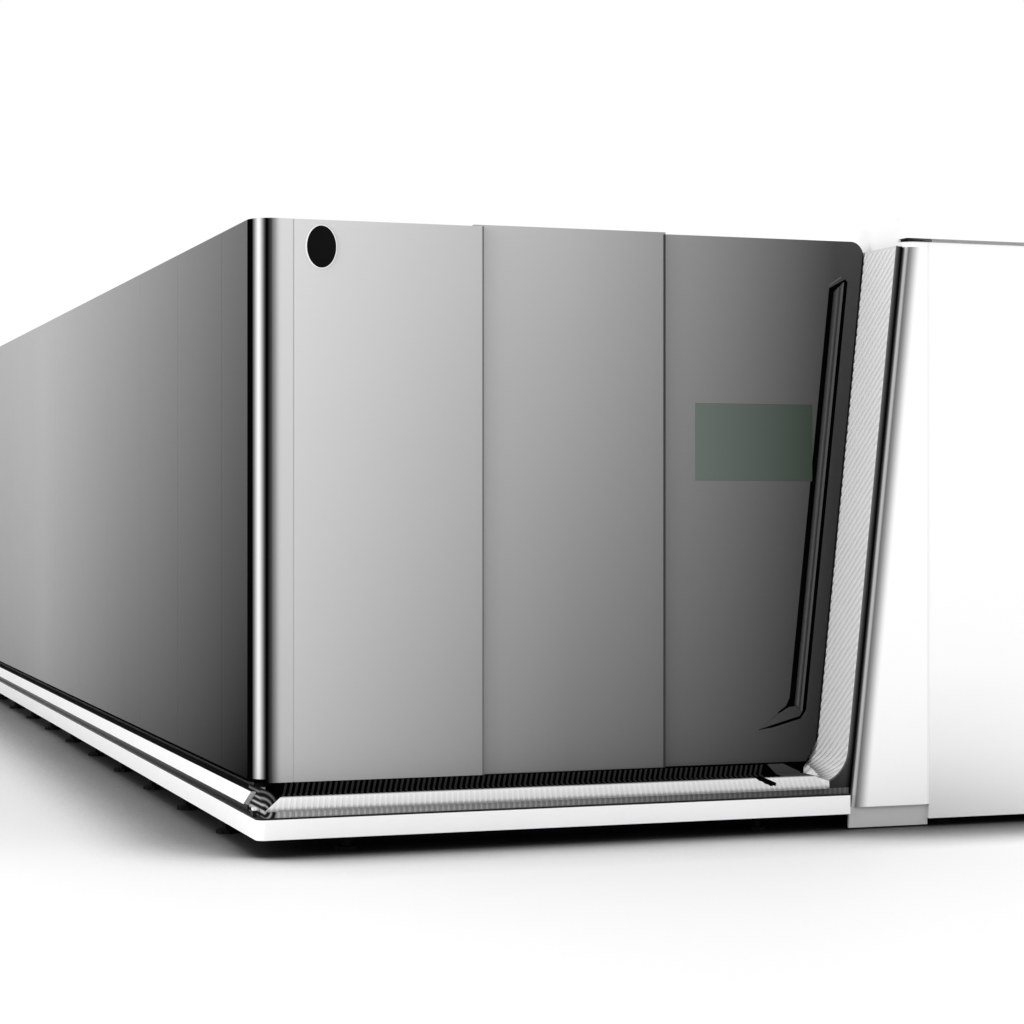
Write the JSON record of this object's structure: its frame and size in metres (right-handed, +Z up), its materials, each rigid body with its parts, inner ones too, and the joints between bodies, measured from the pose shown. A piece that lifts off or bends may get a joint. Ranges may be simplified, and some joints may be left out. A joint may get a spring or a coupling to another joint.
{
  "type": "fiber laser cutting machine",
  "caption": "Fully enclosed flat-bed fiber laser cutter with a telescopic front door, a leaning jamb, a service cabin, a moving gantry and a rolling shuttle table.",
  "frame": {"origin": "on the floor under the centre of the bounding box", "axes": "+Z up, +Y from the front door back along the long side, +X along the front towards the service cabin"},
  "size_m": [3.849, 8.837, 2.315],
  "materials": {
    "white_paint": "satin powder coat",
    "silver_paint": "satin powder coat",
    "black_paint": "satin",
    "frame_paint": "matt",
    "black_plastic": "fine grain",
    "black_rubber": "matt",
    "jamb_plastic": "ribbed",
    "light_diffuser": "opal",
    "tinted_glass": "tinted",
    "bright_steel": "ground",
    "mild_steel": "mill scale",
    "machined_aluminium": "machined",
    "copper": "turned"
  },
  "bodies": {
    "machine": {"base_frame": "white_paint", "base_rail_front": "white_paint", "blank_badge": "black_plastic", "cabin_shell": "white_paint", "corner_column": "black_paint", "corner_panel": "silver_paint", "door_guide": "black_paint", "door_track": "bright_steel", "enclosure_frame": "frame_paint", "exchange_frame": "frame_paint", "fixed_door_panel": "silver_paint", "gantry_racks": "bright_steel", "gantry_rail_left": "bright_steel", "gantry_rail_right": "bright_steel", "hood": "white_paint", "jamb_seal": "black_rubber", "laser_source": "white_paint", "left_panel_01": "silver_paint", "left_panel_02": "silver_paint", "left_panel_03": "silver_paint", "left_panel_04": "silver_paint", "left_panel_05": "silver_paint", "left_panel_06": "silver_paint", "left_panel_07": "silver_paint", "left_panel_08": "silver_paint", "left_panel_09": "silver_paint", "left_panel_10": "silver_paint", "left_panel_11": "silver_paint", "levelling_feet": "bright_steel", "light_strip": "light_diffuser", "machine_bed": "frame_paint", "pillar": "white_paint", "ribbed_jamb": "jamb_plastic", "right_panel_1": "white_paint", "right_panel_2": "white_paint", "roof_panel_front": "white_paint", "roof_panel_rear": "white_paint", "sill_beam": "black_paint", "sill_nose": "jamb_plastic", "sill_tread": "black_rubber", "table_rail_left": "bright_steel", "table_rail_right": "bright_steel"},
    "door_middle": {"door_leaf_middle": "silver_paint"},
    "door_front": {"door_leaf_front": "silver_paint", "viewing_window": "tinted_glass", "door_handle": "black_plastic"},
    "gantry": {"gantry_beam": "machined_aluminium", "drive_motors": "black_plastic"},
    "pinion_left": {"pinion_left": "bright_steel"},
    "pinion_right": {"pinion_right": "bright_steel"},
    "carriage": {"carriage": "machined_aluminium"},
    "head": {"cutting_head": "machined_aluminium", "nozzle": "copper"},
    "shuttle": {"shuttle_table": "frame_paint", "support_slats": "mild_steel"},
    "wheels_front": {"wheelset_front": "bright_steel"},
    "wheels_rear": {"wheelset_rear": "bright_steel"},
    "rear_door_left": {"rear_door_left": "white_paint"},
    "rear_door_right": {"rear_door_right": "white_paint"},
    "cabin_door": {"cabin_door": "white_paint"}
  },
  "joints": [
    {"name": "front_door_slide", "type": "slide", "parent": "machine", "child": "door_front", "axis": [-1, 0, 0], "range_m": [0, 1.4]},
    {"name": "middle_leaf_slide", "type": "slide", "parent": "machine", "child": "door_middle", "axis": [-1, 0, 0], "range_m": [0, 0.7]},
    {"name": "gantry_slide", "type": "slide", "parent": "machine", "child": "gantry", "axis": [0, 1, 0], "range_m": [0, 2.9]},
    {"name": "pinion_left_spin", "type": "hinge", "parent": "gantry", "child": "pinion_left", "pos_m": [-1.5698, -3.1735, 0.86], "axis": [0, 0, -1], "range_deg": [0, 5540]},
    {"name": "pinion_right_spin", "type": "hinge", "parent": "gantry", "child": "pinion_right", "pos_m": [0.3508, -3.1735, 0.86], "axis": [0, 0, 1], "range_deg": [0, 5540]},
    {"name": "carriage_slide", "type": "slide", "parent": "gantry", "child": "carriage", "axis": [1, 0, 0], "range_m": [-0.735, 0.735]},
    {"name": "head_lift", "type": "slide", "parent": "carriage", "child": "head", "axis": [0, 0, 1], "range_m": [-0.03, 0.06]},
    {"name": "shuttle_slide", "type": "slide", "parent": "machine", "child": "shuttle", "axis": [0, 1, 0], "range_m": [0, 4.4]},
    {"name": "wheels_front_roll", "type": "hinge", "parent": "shuttle", "child": "wheels_front", "pos_m": [-0.6095, -3.2835, 0.6053], "axis": [-1, 0, 0], "range_deg": [0, 5615]},
    {"name": "wheels_rear_roll", "type": "hinge", "parent": "shuttle", "child": "wheels_rear", "pos_m": [-0.6095, -0.9635, 0.6053], "axis": [-1, 0, 0], "range_deg": [0, 5615]},
    {"name": "rear_door_left_hinge", "type": "hinge", "parent": "machine", "child": "rear_door_left", "pos_m": [-1.8475, 4.3985, 1.2], "axis": [0, 0, 1], "range_deg": [0, 110]},
    {"name": "rear_door_right_hinge", "type": "hinge", "parent": "machine", "child": "rear_door_right", "pos_m": [0.6285, 4.3985, 1.2], "axis": [0, 0, -1], "range_deg": [0, 110]},
    {"name": "cabin_door_hinge", "type": "hinge", "parent": "machine", "child": "cabin_door", "pos_m": [1.9155, -3.6995, 1.2], "axis": [0, 0, -1], "range_deg": [0, 110]}
  ],
  "couplings": [
    {"joint": "middle_leaf_slide", "follows": "front_door_slide", "ratio": 0.5},
    {"joint": "pinion_left_spin", "follows": "gantry_slide", "rad_per_m": 33.333},
    {"joint": "pinion_right_spin", "follows": "gantry_slide", "rad_per_m": 33.333},
    {"joint": "wheels_front_roll", "follows": "shuttle_slide", "rad_per_m": 22.222},
    {"joint": "wheels_rear_roll", "follows": "shuttle_slide", "rad_per_m": 22.222}
  ]
}
